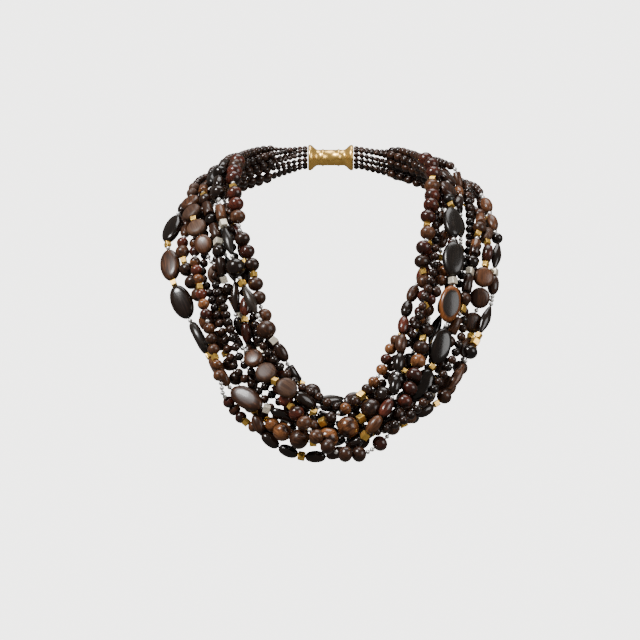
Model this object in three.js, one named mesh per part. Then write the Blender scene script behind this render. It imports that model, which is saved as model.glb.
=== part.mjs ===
/**
 * Necklace of twelve strings of polished wood and horn beads, worn form, gathered at one clasp.
 * Millimetres, +Z up, the front faces -Y. The origin is the middle of the wearer's neck at
 * the height of the nape, where the necklace is carried.
 */
import * as THREE from "three";

// Sizes

const SIDES = 10; // sides of a meshed bead
const TUBE_SIDES = 8; // sides of the strings that are plain tubes here
const TUBE_STEPS = 54;
const ENDS_CLOSER = 0.35; // share by which a tube's steps are shorter at its ends
const THREAD_R = 0.9; // the string between two beads
const GAP = 0.6; // clear space asked for between two strings while they settle
const CLEAR = 0.5; // clear space that is left between two beads that stay pressed together
const SLIM = 0.85; // a tube's radius is this much less than its beads', for its long straight steps
const CLASP = {
  y: 74, z: 3, half: 16.7, mouth: 9.6, waist: 5.4, flare: 7, lip: 1.5, chamfer: 0.7, sides: 16,
};
const RING = 7.2; // the string ends sit on this radius in front of the clasp's face
const SLENDER = 7; // slender beads beside the clasp
const SEAT = 0.3; // gap between a string end and the clasp

// Chart of the front view: one chart unit is 0.72 mm on the plane of the neck

const CHART = { unit: 0.72, middle: 331, top: 157, eye: 320, distance: 2500 };

// Where the charted stretch starts: behind the middle of the neck, and how soon below it the
// height of a string over the form counts in full

const CREST = { back: 4, reach: 15 };

// Kinds of bead: length along the string, width, thickness, and the shape of the bead

const KINDS = {
  s: [3.0, 3.2, 3.2, "spacer"], // silver round
  g: [3.9, 4.0, 4.0, "spacer"], // small gold cube
  q: [4.8, 4.9, 4.9, "spacer"], // cube
  e: [4.0, 3.2, 3.2, "plain"], // hidden, beside the clasp
  p: [7.0, 5.8, 5.8, "plain"], // hidden, round the nape
  n: [6.0, 6.2, 6.2, "round"],
  m: [7.7, 8.2, 8.2, "round"],
  u: [9.2, 9.2, 9.2, "round"],
  r: [10.0, 10.6, 10.6, "round"],
  L: [13.2, 13.4, 13.4, "round"],
  R: [14.8, 15.0, 15.0, "round"],
  t: [12.6, 7.0, 7.0, "tube"],
  O: [27.0, 15.0, 7.0, "round"], // flat oval lying on its face
  D: [27.0, 7.2, 12.6, "round"], // flat oval turned on its edge
  c: [15.0, 14.4, 6.4, "round"], // coin on its face
  d: [15.0, 6.8, 12.2, "round"], // coin on its edge
  b: [22.5, 7.4, 5.4, "bicone"],
  k: [14.5, 8.0, 8.0, "round"], // rice bead
  o: [17.5, 9.2, 7.0, "round"],
};

// Rings of a bead: share of the length, share of the width

const RINGS = {
  round: [[0.22, 0.88], [0.78, 0.88]],
  tube: [[0.03, 0.98], [0.97, 0.98]],
  bicone: [[0.5, 1]],
  plain: [[0.5, 0.88]],
};

// Drape form: what the strings lie on. Drop below the nape, half width, front, back

const FORM = [
  [-60, 58, 56, 60], [0, 60, 57, 62], [8, 63, 57.5, 63], [20, 74, 58.5, 66], [32, 88, 60, 71],
  [42, 100, 62, 75], [52, 112, 64, 79], [62, 132, 66, 83], [74, 165, 69, 88], [100, 180, 75, 98],
  [160, 182, 92, 112], [260, 176, 122, 122],
];
const RIDGE = [[0, 30], [58, 12], [62, -6], [74, -24], [92, -47], [114, -58], [180, -73]];
const FALL = [
  [0, 0], [5, 13], [12, 25], [22, 36], [35, 45], [55, 53], [85, 60], [130, 72], [200, 92], [300, 112],
];

// Routes and beads, hand-chosen from the front view: across, down, height over the form,
// and the beads from there to the next point. tube is the diameter of a string that is a
// plain tube here.

const STRANDS = {
  round_strand: { tube: 10.2, rows: [
    [238, 156, 10, "r r r r s"], [231, 188, 14, "g r r r s s"], [239, 234, 15, "r r r g"],
    [249, 278, 15, "r r s"], [257, 310, 10, "r r r r"], [269, 362, 5, "r s r r"],
    [288, 402, 4, "g r r s r r s"], [338, 457, 5, "r r"], [364, 453, 8, "s s r s"],
    [388, 433, 9, "r r r r"], [413, 382, 15, "r r r g r"], [424, 320, 16, "s s r r r g"],
    [425, 266, 16, "r r s r g r r r r g r"], [434, 171, 12, "r r"], [421, 158, 12, ""],
  ] },
  mixed_strand: { rows: [
    [226, 158, 12, "t r"], [219, 183, 17, "k r s s t q"], [227, 227, 17, "b s L s"],
    [244, 282, 17, "g b s s"], [262, 325, 16, "L q k s"], [287, 370, 14, "t g L s s"],
    [325, 412, 12, "k r b s g r k"], [430, 407, 7, "g r b s r q"], [473, 340, 8, "g b s"],
    [486, 299, 10, "s s k q"], [490, 268, 11, "b m s k s k s s"], [479, 193, 12, ""],
  ] },
  bicone_strand: { tube: 6.4, rows: [
    [210, 172, 8, "k"], [210, 196, 5, "b s b"], [222, 226, 4, "b s b"], [231, 283, 4, "b s k"],
    [248, 332, 4, "b k"], [276, 378, 4, "k s k"], [314, 406, 4, "b s b s"], [392, 398, 4, "b s b"],
    [428, 345, 4, "b k"], [446, 298, 4, "b s k s"], [458, 245, 4, "s b s b s"], [460, 192, 5, ""],
  ] },
  tube_strand: { tube: 8.2, rows: [
    [206, 186, 10, "t s"], [209, 200, 14, "g u t u t q"], [216, 247, 16, "u t q"],
    [226, 283, 16, "u t q s"], [241, 320, 15, "u t q"], [260, 355, 14, "u t g s"],
    [284, 391, 8, "u t q t s"], [340, 425, 4, "u t q t"], [400, 425, 6, "q u t"],
    [430, 395, 10, "q u t"], [449, 356, 14, "q u t s"], [462, 313, 15, "q u t"],
    [471, 276, 16, "q u t s"], [475, 237, 16, "g u t u t"], [472, 201, 15, "g u t s"],
    [445, 167, 11, ""],
  ] },
  coin_strand: { rows: [
    [197, 182, 15, "m"], [197, 191, 15, "m s c c g"], [200, 222, 16, "c c s s"],
    [208, 262, 16, "c c g"], [224, 308, 15, "d s d s"], [243, 353, 16, "s c c g"],
    [276, 392, 17, "c o s o"], [346, 410, 10, "c g c s c c"], [440, 397, 7, "c s r"],
    [461, 361, 10, "s c"], [471, 339, 10, "g c s c c g"], [480, 264, 10, "d g d s c g"],
    [485, 217, 11, "s c"], [478, 195, 11, ""],
  ] },
  oval_strand: { rows: [
    [196, 214, 10, "d s"], [194, 219, 12, "O g s"], [186, 247, 12, "O g"], [189, 284, 12, "O s"],
    [196, 323, 14, "D g"], [211, 360, 15, "D s"], [233, 390, 19, "O q"], [274, 412, 16, "D s"],
    [308, 429, 11, "O s"], [345, 442, 7, "c g"], [380, 430, 7, "D s"], [416, 402, 12, "O g"],
    [431, 366, 20, "O s"], [443, 324, 25, "O q"], [449, 279, 25, "O s"], [452, 241, 24, "O g m"],
    [452, 207, 15, "c s c s"], [450, 182, 12, ""],
  ] },
  graduated_strand: { rows: [
    [194, 207, 8, "k k k s"], [189, 241, 12, "m r g r"], [196, 273, 14, "r r g s"],
    [208, 309, 16, "R R g"], [227, 355, 15, "r r r r"], [257, 407, 12, "r g r"],
    [278, 431, 18, "L L q"], [322, 449, 20, "R R q"], [364, 417, 20, "R L s"],
    [388, 387, 12, "L g L s"], [408, 347, 6, "k g k s"], [430, 302, 6, "k k g s"],
    [444, 252, 6, "k s k s k s k s"], [448, 184, 6, ""],
  ] },
  small_round_strand: { tube: 7.8, rows: [
    [202, 200, 4, "m m m g m s"], [197, 243, 4, "m m s m m m g m m m s m"],
    [212, 335, 4, "m m g m m s"], [224, 386, 6, "s s s"], [228, 399, 8, "m m m g"],
    [247, 422, 9, "m m m g"], [281, 431, 16, "m s m m q"], [327, 421, 21, "m s m m q"],
    [364, 393, 16, "m m s"], [380, 375, 13, "m m m m g"], [405, 331, 9, "m m m g m m s"],
    [436, 290, 4, "m m m"], [448, 255, 4, "m m m g m m m m"], [448, 200, 4, "m m s"],
    [440, 178, 4, ""],
  ] },
  rice_strand: { tube: 7.6, rows: [
    [217, 180, 5, "k k s k g"], [230, 222, 4, "k k g k s s"], [243, 300, 4, "k g k k s"],
    [255, 370, 4, "k k g k"], [264, 436, 6, "k k q"], [305, 458, 9, "k k"], [347, 456, 14, "k q"],
    [370, 438, 18, "k k s"], [394, 398, 20, "k s"], [397, 373, 19, "k k k k"],
    [415, 299, 10, "k s k k g"], [438, 245, 4, "k k s k k s"], [442, 186, 5, ""],
  ] },
  inner_strand: { tube: 6.0, fill: "n", rows: [
    [226, 174, 4], [231, 235, 2], [241, 285, 2], [257, 330, 2], [284, 376, 2], [320, 408, 2],
    [350, 412, 2], [378, 396, 2], [406, 350, 2], [426, 300, 2], [433, 245, 2], [438, 182, 4],
  ] },
  middle_strand: { tube: 6.0, fill: "n", rows: [
    [212, 190, 4], [214, 240, 2], [222, 290, 2], [236, 338, 2], [262, 385, 2], [300, 417, 2],
    [345, 426, 2], [394, 410, 2], [438, 350, 2], [455, 298, 2], [466, 245, 2], [464, 190, 4],
  ] },
  outer_strand: { tube: 6.0, fill: "n", rows: [
    [206, 196, 4], [204, 240, 2], [211, 290, 2], [225, 340, 2], [250, 390, 2], [292, 430, 2],
    [345, 438, 2], [398, 424, 2], [440, 380, 2], [464, 315, 2], [475, 252, 2], [470, 196, 4],
  ] },
};

// Small vector tools

const add = (a, b, k = 1) => [a[0] + b[0] * k, a[1] + b[1] * k, a[2] + b[2] * k];
const dot = (a, b) => a[0] * b[0] + a[1] * b[1] + a[2] * b[2];
const cross = (a, b) => [
  a[1] * b[2] - a[2] * b[1], a[2] * b[0] - a[0] * b[2], a[0] * b[1] - a[1] * b[0],
];
const unit = (a) => {
  const n = Math.max(Math.sqrt(dot(a, a)), 1e-6);
  return [a[0] / n, a[1] / n, a[2] / n];
};
const lookup = (table, x, column) => {
  if (x <= table[0][0]) return table[0][column];
  for (let i = 1; i < table.length; i++) {
    if (x <= table[i][0]) {
      const t = (x - table[i - 1][0]) / (table[i][0] - table[i - 1][0]);
      return table[i - 1][column] + (table[i][column] - table[i - 1][column]) * t;
    }
  }
  return table[table.length - 1][column];
};

// The drape form as a height above its skin and the direction away from it

const formValue = (x, y, z) => {
  const depth = lookup(FORM, -z, y < 0 ? 2 : 3);
  return Math.sqrt((x / lookup(FORM, -z, 1)) ** 2 + (y / depth) ** 2) - 1;
};
const form = ([x, y, z]) => {
  const e = 4;
  const g = [
    (formValue(x + e, y, z) - formValue(x - e, y, z)) / (2 * e),
    (formValue(x, y + e, z) - formValue(x, y - e, z)) / (2 * e),
    (formValue(x, y, z + e) - formValue(x, y, z - e)) / (2 * e),
  ];
  const n = Math.sqrt(dot(g, g));
  return [formValue(x, y, z) / n, [g[0] / n, g[1] / n, g[2] / n]];
};

// A chart point in millimetres, laid on the front of the form

const place = ([across, down, lift]) => {
  let y = -60;
  let point = null;
  for (let turn = 0; turn < 6; turn++) {
    const k = (CHART.unit * (CHART.distance + y)) / CHART.distance;
    const x = (CHART.eye - CHART.middle) * CHART.unit + (across - CHART.eye) * k;
    const z = (CHART.top - CHART.eye) * CHART.unit - (down - CHART.eye) * k;
    const drop = Math.max(lookup(RIDGE, Math.abs(x), 1) + lift - z, 0);
    y = CREST.back - lookup(FALL, drop, 1) - (lift * drop) / (drop + CREST.reach);
    point = [x, y, z];
  }
  return point;
};

// Angles of the string ends round the clasp: the outer half of the strings down its outer
// side, the inner half down its inner side, the highest string of each at the top

const endAngles = (rows) => {
  const layers = rows.map((_, i) => i).sort((a, b) => rows[b][2] - rows[a][2]);
  const half = rows.length / 2;
  const angles = [];
  [layers.slice(0, half), layers.slice(half)].forEach((layer, inner) => {
    layer.sort((a, b) => rows[a][1] - rows[b][1]).forEach((i, rank) => {
      const away = ((rank + 0.5) * Math.PI) / half;
      angles[i] = Math.PI / 2 + (inner ? away : -away);
    });
  });
  return angles;
};

// From the last charted point round the neck to the clasp

const aroundNape = (crest, side, angle) => {
  const end = [
    side * (CLASP.half + SEAT), CLASP.y + RING * Math.cos(angle), CLASP.z + RING * Math.sin(angle),
  ];
  const points = [];
  for (let j = 1; j <= 5; j++) {
    const t = j / 6;
    points.push([
      end[0] + (crest[0] - end[0]) * Math.cos((Math.PI / 2) * t),
      crest[1] + (end[1] - crest[1]) * Math.sin((Math.PI / 2) * t),
      crest[2] + (end[2] - crest[2]) * t,
    ]);
  }
  return [...points, add(end, [side, 0, 0], KINDS.e[0]), end];
};

const smooth = (points, per) => {
  const p = [add(points[0], add(points[0], points[1], -1)), ...points];
  p.push(add(points.at(-1), add(points.at(-1), points.at(-2), -1)));
  const out = [];
  for (let i = 0; i + 3 < p.length; i++) {
    for (let j = 0; j < per; j++) {
      const t = j / per;
      out.push([0, 1, 2].map((k) => {
        const [a, b, c, d] = [p[i][k], p[i + 1][k], p[i + 2][k], p[i + 3][k]];
        return 0.5 * (2 * b + (c - a) * t + (2 * a - 5 * b + 4 * c - d) * t * t
          + (3 * b - a - 3 * c + d) * t ** 3);
      }));
    }
  }
  out.push(points.at(-1));
  return out;
};

// Threads the beads on a route: the start of every bead, and the length it takes

const PER = 12;
const beadLength = (beads) => beads.reduce((sum, b) => sum + KINDS[b][0], 0);
const thread = ({ rows, fill }, ends) => {
  const front = rows.map(place);
  const left = aroundNape(front[0], -1, ends[0]).reverse();
  const right = aroundNape(front.at(-1), 1, ends[1]);
  const curve = smooth([...left, ...front, ...right], PER);
  const run = [0];
  for (let i = 1; i < curve.length; i++) {
    const d = add(curve[i], curve[i - 1], -1);
    run.push(run[i - 1] + Math.sqrt(dot(d, d)));
  }
  const marks = front.map((_, i) => run[(left.length + i) * PER]);
  const plain = (length) => {
    const beads = Array(SLENDER).fill("e");
    while (beadLength(beads) + KINDS.p[0] < length) beads.push("p");
    return beads;
  };
  const parts = [[0, marks[0], plain(marks[0])]];
  for (let i = 0; i + 1 < marks.length; i++) {
    const many = fill ? Math.floor((marks[i + 1] - marks[i]) / (KINDS[fill][0] + 0.2)) : 0;
    parts.push([marks[i], marks[i + 1], fill ? Array(many).fill(fill) : rows[i][3].split(" ")]);
  }
  parts.push([marks.at(-1), run.at(-1), plain(run.at(-1) - marks.at(-1)).reverse()]);
  const beads = [];
  const at = [];
  for (const [from, to, list] of parts) {
    const slack = (to - from - beadLength(list)) / list.length;
    let where = from;
    for (const bead of list) {
      beads.push(bead);
      at.push(where);
      where += KINDS[bead][0] + slack;
    }
  }
  at.push(run.at(-1));
  let i = 0;
  const nodes = at.map((s) => {
    while (i + 2 < run.length && run[i + 1] < s) i++;
    const t = (s - run[i]) / (run[i + 1] - run[i]);
    return add(curve[i], add(curve[i + 1], curve[i], -1), t);
  });
  nodes[1] = add(left[0], [-1, 0, 0], KINDS.e[0]);
  nodes[nodes.length - 2] = add(right.at(-1), [1, 0, 0], KINDS.e[0]);
  const rest = beads.map((bead, k) => {
    const length = KINDS[bead][0];
    return length + Math.min(Math.max(at[k + 1] - at[k] - length, 0.1), 1.2);
  });
  return { beads, nodes, rest };
};

// Shakes the threaded beads down until no string runs through another

const STEPS = 560;
const SOFT = 260; // the steps in which the strings also sink on to the form
const SINK = 0.05; // mm towards the form at a time
const HOLD_FRONT = 0.4; // share of the way back to the chart, seen from the front
const HOLD_DEEP = 0.05; // the same from front to back, while the strings sink
const HOLD_LAST = 0.4; // share of HOLD_FRONT that stays to the end
const share = (shape, t) => {
  const u = Math.abs(2 * t - 1);
  if (shape === "tube" || shape === "spacer" || shape === "plain") return 1;
  if (shape === "bicone") return Math.max(1 - 0.75 * u ** 1.6, 0.3);
  return Math.max(Math.sqrt(1 - u * u), 0.3);
};

const settle = (strands) => {
  const X = [];
  const links = [];
  const moves = [];
  const marks = []; // one per contact place: link, string, share along, half width, half thickness
  strands.forEach((s, string) => {
    const first = X.length;
    s.nodes.forEach((p, i) => {
      X.push([...p]);
      moves.push(i < 2 || i > s.nodes.length - 3 ? 0 : 1);
    });
    s.beads.forEach((bead, i) => {
      const [length, width, thick, shape] = KINDS[bead];
      const tube = s.tube && shape !== "plain" ? s.tube : 0;
      const count = Math.max(1, Math.round(length / 3));
      links.push([first + i, s.rest[i]]);
      for (let j = 0; j < count; j++) {
        const t = (j + 0.5) / count;
        const f = tube ? 1 : share(shape, t);
        marks.push({
          a: first + i, bead: links.length - 1, string, t,
          w: ((tube || width) / 2) * f, h: ((tube || thick) / 2) * f, k: (1 - t) ** 2 + t ** 2,
        });
      }
    });
    s.first = first;
  });
  const start = X.map((p) => [...p]);
  const at = (m) => add([0, 0, 0], add(X[m.a].map((v) => v * (1 - m.t)), X[m.a + 1], m.t));
  let pairs = [];
  const nearby = () => {
    const cell = 12;
    const grid = new Map();
    const key = (i, j, k) => (i + 500) * 1000000 + (j + 500) * 1000 + (k + 500);
    marks.forEach((m, i) => {
      const c = m.p.map((v) => Math.floor(v / cell));
      const id = key(c[0], c[1], c[2]);
      if (!grid.has(id)) grid.set(id, []);
      grid.get(id).push(i);
    });
    const found = [];
    marks.forEach((m, i) => {
      const c = m.p.map((v) => Math.floor(v / cell));
      for (let a = -2; a <= 2; a++) for (let b = -2; b <= 2; b++) for (let d = -2; d <= 2; d++) {
        for (const j of grid.get(key(c[0] + a, c[1] + b, c[2] + d)) ?? []) {
          if (marks[j].string <= m.string) continue;
          const u = add(marks[j].p, m.p, -1);
          const reach = Math.max(m.w, m.h) + Math.max(marks[j].w, marks[j].h) + 5;
          if (dot(u, u) < reach * reach) found.push([i, j]);
        }
      }
    });
    return found.sort((p, q) => p[0] - q[0] || p[1] - q[1]);
  };
  const support = (m, u) => Math.sqrt(
    (m.w * dot(u, m.side)) ** 2 + (m.h * dot(u, m.up)) ** 2
      + (0.25 * Math.min(m.w, m.h) * dot(u, m.along)) ** 2,
  );
  const shift = X.map(() => [0, 0, 0, 0]);
  const push = (m, v, k) => {
    const [w1, w2] = [(1 - m.t) / m.k, m.t / m.k];
    const [p, q] = [shift[m.a], shift[m.a + 1]];
    for (let c = 0; c < 3; c++) {
      p[c] += v[c] * k * w1;
      q[c] += v[c] * k * w2;
    }
    p[3] += 1 - m.t;
    q[3] += m.t;
  };
  const apply = (gain) => shift.forEach((v, i) => {
    const k = (gain * moves[i]) / Math.max(v[3], 1);
    for (let c = 0; c < 3; c++) X[i][c] += v[c] * k;
    v.fill(0);
  });
  for (let step = 0; step < STEPS; step++) {
    const soft = Math.max(1 - step / SOFT, 0);
    for (const m of marks) m.p = at(m);
    if (step % 10 === 0) pairs = nearby();
    if (step % 5 === 0) for (const m of marks) m.n = form(m.p)[1];
    for (const m of marks) {
      m.along = unit(add(X[m.a + 1], X[m.a], -1));
      m.up = unit(add(m.n, m.along, -dot(m.n, m.along)));
      m.side = cross(m.along, m.up);
    }
    for (const [i, j] of pairs) {
      const [m, o] = [marks[i], marks[j]];
      const d = add(o.p, m.p, -1);
      const length = Math.max(Math.sqrt(dot(d, d)), 1e-6);
      const u = d.map((v) => v / length);
      const over = support(m, u) + support(o, u) + GAP - length;
      if (over <= 0) continue;
      push(m, u, -over / 2);
      push(o, u, over / 2);
    }
    apply(1.3);
    if (step % 5 === 0) {
      for (const m of marks) {
        m.p = at(m);
        const [height, n] = form(m.p);
        if (height < m.h + 0.3) push(m, n, m.h + 0.3 - height);
      }
      apply(1);
      X.forEach((p, i) => {
        const n = form(p)[1];
        for (let c = 0; c < 3; c++) {
          const hold = c === 1 ? HOLD_DEEP * soft : HOLD_FRONT * Math.max(soft, HOLD_LAST);
          p[c] += (-n[c] * SINK * soft + (start[i][c] - p[c]) * hold) * moves[i];
        }
      });
    }
    const middle = X.map((p, i) => (moves[i] ? add(add(X[i - 1], X[i + 1]), p, -2) : null));
    X.forEach((p, i) => {
      if (moves[i]) for (let c = 0; c < 3; c++) p[c] += middle[i][c] * 0.03;
    });
    for (let turn = 0; turn < 4; turn++) {
      for (const parity of [0, 1]) {
        for (let l = parity; l < links.length; l += 2) {
          const [a, rest] = links[l];
          const d = add(X[a + 1], X[a], -1);
          const length = Math.sqrt(dot(d, d));
          const k = ((length - rest) / length) * 0.5;
          for (let c = 0; c < 3; c++) {
            X[a][c] += d[c] * k * moves[a];
            X[a + 1][c] -= d[c] * k * moves[a + 1];
          }
        }
      }
    }
  }
  // Beads that are still pressed together are cut down a little
  const size = links.map(() => 1);
  for (const m of marks) {
    m.p = at(m);
    m.n = form(m.p)[1];
    m.along = unit(add(X[m.a + 1], X[m.a], -1));
    m.up = unit(add(m.n, m.along, -dot(m.n, m.along)));
    m.side = cross(m.along, m.up);
  }
  for (const [i, j] of nearby()) {
    const [m, o] = [marks[i], marks[j]];
    const d = add(o.p, m.p, -1);
    const length = Math.max(Math.sqrt(dot(d, d)), 1e-6);
    const u = d.map((v) => v / length);
    const fit = (length - CLEAR) / (support(m, u) + support(o, u));
    size[m.bead] = Math.min(size[m.bead], fit);
    size[o.bead] = Math.min(size[o.bead], fit);
  }
  strands.forEach((s) => {
    const from = s.first;
    const link = links.findIndex(([a]) => a === from);
    s.nodes = s.nodes.map((_, i) => X[from + i]);
    s.size = s.beads.map((_, i) => size[link + i]);
  });
};

// A string of beads as one closed skin: rings along the string, capped at both ends

const beaded = ({ beads, nodes, size }) => {
  const rings = [];
  const ring = (centre, along, width, thick) => {
    const n = form(centre)[1];
    const up = unit(add(n, along, -dot(n, along)));
    const side = cross(along, up);
    rings.push(Array.from({ length: SIDES }, (_, i) => {
      const angle = (2 * Math.PI * i) / SIDES;
      return add(add(centre, side, (width / 2) * Math.cos(angle)), up, (thick / 2) * Math.sin(angle));
    }));
  };
  const string = 2 * THREAD_R;
  const direction = (i) => unit(add(nodes[i + 1], nodes[i], -1));
  ring(nodes[0], direction(0), string, string);
  let joint = null; // where the last shaped bead ends
  beads.forEach((bead, i) => {
    const [length, width, thick, shape] = KINDS[bead];
    if (shape === "spacer" || (bead === "p" && i % 2)) return;
    const along = direction(i);
    const middle = add(nodes[i].map((v) => v / 2), nodes[i + 1], 0.5);
    const station = (t) => add(middle, along, (t - 0.5) * length);
    if (joint && shape !== "plain") {
      const start = station(0);
      ring(add(joint.map((v) => v / 2), start, 0.5), unit(add(start, joint, -1)), string, string);
    }
    for (const [t, f] of RINGS[shape]) {
      ring(station(t), along, width * f * size[i], thick * f * size[i]);
    }
    joint = station(1);
  });
  ring(nodes.at(-1), direction(beads.length - 1), string, string);
  const points = [...rings.flat(), nodes[0], nodes.at(-1)];
  const faces = [];
  for (let r = 0; r + 1 < rings.length; r++) {
    for (let i = 0; i < SIDES; i++) {
      const [a, b] = [r * SIDES + i, r * SIDES + ((i + 1) % SIDES)];
      faces.push(a, b + SIDES, b, a, a + SIDES, b + SIDES);
    }
  }
  const last = (rings.length - 1) * SIDES;
  for (let i = 0; i < SIDES; i++) {
    const j = (i + 1) % SIDES;
    faces.push(points.length - 2, i, j, points.length - 1, last + j, last + i);
  }
  const geometry = new THREE.BufferGeometry();
  geometry.setAttribute("position", new THREE.Float32BufferAttribute(points.flat(), 3));
  geometry.setIndex(faces);
  geometry.computeVertexNormals();
  return geometry;
};

// A fine string as a tube of its beads' width, narrowed where its beads are smaller or cut
// down; its beads are made with the looks

const tubed = ({ nodes, tube, beads, size }) => {
  const path = new THREE.CatmullRomCurve3(nodes.map((p) => new THREE.Vector3(...p)));
  for (const way of ["getPointAt", "getTangentAt"]) {
    path[way] = (u, target) => {
      const closer = u - (ENDS_CLOSER * Math.sin(2 * Math.PI * u)) / (2 * Math.PI);
      return THREE.Curve.prototype[way].call(path, closer, target);
    };
  }
  const shape = new THREE.Shape();
  const radius = tube / 2 - SLIM;
  for (let i = 0; i < TUBE_SIDES; i++) {
    const angle = (2 * Math.PI * (i + 0.5)) / TUBE_SIDES;
    const point = [radius * Math.cos(angle), radius * Math.sin(angle)];
    if (i === 0) shape.moveTo(...point);
    else shape.lineTo(...point);
  }
  shape.closePath();
  const skin = new THREE.ExtrudeGeometry(shape, {
    steps: TUBE_STEPS, extrudePath: path, bevelEnabled: false,
  });
  const centres = path.getSpacedPoints(TUBE_STEPS);
  const reach = path.getLength() / TUBE_STEPS;
  const narrowing = centres.map((centre) => {
    const near = beads.map((bead, i) => {
      if (centre.distanceTo(new THREE.Vector3(...nodes[i])) > reach) return 1;
      const [, width, , kind] = KINDS[bead];
      return (kind === "plain" ? width / tube : 1) * size[i];
    });
    return Math.min(...near, 1);
  });
  const spots = skin.attributes.position;
  const spot = new THREE.Vector3();
  for (let i = 0; i < spots.count; i++) {
    spot.fromBufferAttribute(spots, i);
    const gaps = centres.map((centre) => centre.distanceTo(spot));
    const step = gaps.indexOf(Math.min(...gaps));
    spot.sub(centres[step]).multiplyScalar(narrowing[step]).add(centres[step]);
    spots.setXYZ(i, spot.x, spot.y, spot.z);
  }
  return skin;
};

const claspGeometry = () => {
  const { half, mouth, waist, flare, lip, chamfer, sides } = CLASP;
  const outline = [
    [0, -half], [mouth - chamfer, -half], [mouth, -half + lip], [waist, -half + flare],
    [waist, half - flare], [mouth, half - lip], [mouth - chamfer, half], [0, half],
  ].map(([r, x]) => new THREE.Vector2(r, x));
  const geometry = new THREE.LatheGeometry(outline, sides);
  geometry.rotateZ(-Math.PI / 2);
  geometry.translate(0, CLASP.y, CLASP.z);
  return geometry;
};

// Colours of the strings, plain here

const COLOURS = {
  round_strand: 0x5f342a, mixed_strand: 0x261914, bicone_strand: 0x2a2624, tube_strand: 0x4a3023,
  coin_strand: 0x583a2a, oval_strand: 0x2b211d, graduated_strand: 0x96603c,
  small_round_strand: 0x6b3a2a, rice_strand: 0x4f3126, inner_strand: 0x2e1f19,
  middle_strand: 0x2a1c17, outer_strand: 0x33221b,
};

const group = new THREE.Group();
const piece = (name, geometry, color, roughness, metalness) => {
  const material = new THREE.MeshStandardMaterial({ color, roughness, metalness });
  const mesh = new THREE.Mesh(geometry, material);
  mesh.name = name;
  group.add(mesh);
};

const names = Object.keys(STRANDS);
const ends = [0, -1].map((end) => endAngles(names.map((name) => STRANDS[name].rows.at(end))));
const strands = names.map((name, i) => ({
  ...thread(STRANDS[name], [ends[0][i], ends[1][i]]), tube: STRANDS[name].tube,
}));
settle(strands);
strands.forEach((s, i) => {
  piece(names[i], s.tube ? tubed(s) : beaded(s), COLOURS[names[i]], 0.35, 0);
});
piece("clasp", claspGeometry(), 0xc8a050, 0.3, 1);

export default group;
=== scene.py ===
"""Necklace of twelve strings of polished wood and horn beads, in worn form.

The beads are threaded on the same routes as the model's strings and settle in the same way,
so each fine bead lies where its plain form does.
"""

import math

import bmesh
import bpy
import numpy as np
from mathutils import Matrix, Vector


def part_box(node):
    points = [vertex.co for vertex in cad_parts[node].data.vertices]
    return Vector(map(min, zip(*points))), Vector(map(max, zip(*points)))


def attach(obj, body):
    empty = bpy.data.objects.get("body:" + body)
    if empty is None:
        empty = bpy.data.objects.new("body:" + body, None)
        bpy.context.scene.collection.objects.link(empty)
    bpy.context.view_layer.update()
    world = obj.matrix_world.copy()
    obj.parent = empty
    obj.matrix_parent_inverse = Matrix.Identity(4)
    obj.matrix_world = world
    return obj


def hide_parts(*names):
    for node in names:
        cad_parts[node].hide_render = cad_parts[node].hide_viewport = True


bl_info = {
    "name": "Beaded Necklace",
    "version": (1, 0, 0),
    "blender": (4, 5, 0),
    "location": "3D View > Sidebar > Necklace",
    "description": "Builds a necklace of twelve strings of polished beads with its studio",
    "category": "Add Mesh",
}

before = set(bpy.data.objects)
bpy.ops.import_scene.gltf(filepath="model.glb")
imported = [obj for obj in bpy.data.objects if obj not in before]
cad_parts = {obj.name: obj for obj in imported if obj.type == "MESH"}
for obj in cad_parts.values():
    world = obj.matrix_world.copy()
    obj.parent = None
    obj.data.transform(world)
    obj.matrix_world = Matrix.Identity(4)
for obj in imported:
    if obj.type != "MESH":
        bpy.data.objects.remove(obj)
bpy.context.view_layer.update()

MM = 0.001

# Chart of the front view: one chart unit is 0.72 mm on the plane of the neck

CHART_UNIT = 0.72
CHART_MIDDLE = 331
CHART_TOP = 157
CHART_EYE = 320
CHART_SIDE = 640
EYE_DISTANCE = 2500

# Kinds of bead: length along the string, width, thickness, shape, and the shape that
# settling sees

KINDS = {
    "s": (3.0, 3.2, 3.2, "ball", "spacer"),
    "g": (3.9, 4.0, 4.0, "cube", "spacer"),
    "q": (4.8, 4.9, 4.9, "cube", "spacer"),
    "e": (4.0, 3.2, 3.2, "round", "plain"),
    "p": (7.0, 5.8, 5.8, "round", "plain"),
    "n": (6.0, 6.2, 6.2, "round", "round"),
    "m": (7.7, 8.2, 8.2, "round", "round"),
    "u": (9.2, 9.2, 9.2, "round", "round"),
    "r": (10.0, 10.6, 10.6, "round", "round"),
    "L": (13.2, 13.4, 13.4, "round", "round"),
    "R": (14.8, 15.0, 15.0, "round", "round"),
    "t": (12.6, 7.0, 7.0, "tube", "tube"),
    "O": (27.0, 15.0, 7.0, "flat", "round"),
    "D": (27.0, 7.2, 12.6, "flat_on_edge", "round"),
    "c": (15.0, 14.4, 6.4, "flat", "round"),
    "d": (15.0, 6.8, 12.2, "flat_on_edge", "round"),
    "b": (22.5, 7.4, 5.4, "bicone", "bicone"),
    "k": (14.5, 8.0, 8.0, "rice", "round"),
    "o": (17.5, 9.2, 7.0, "rice", "round"),
}
METALS = {"s": "silver", "g": "gold", "q": "gold", "w": "pale_gold"}

# Finishes of the beads, by the letter that follows a bead's kind

TONES = {
    "k": "ebony",
    "d": "dark_wood",
    "b": "brown_wood",
    "r": "red_wood",
    "t": "tan_wood",
    "h": "horn",
    "o": "tortoise",
    "c": "soft_brown_wood",
}

# Drape form: drop below the nape, half width, front, back

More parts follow.
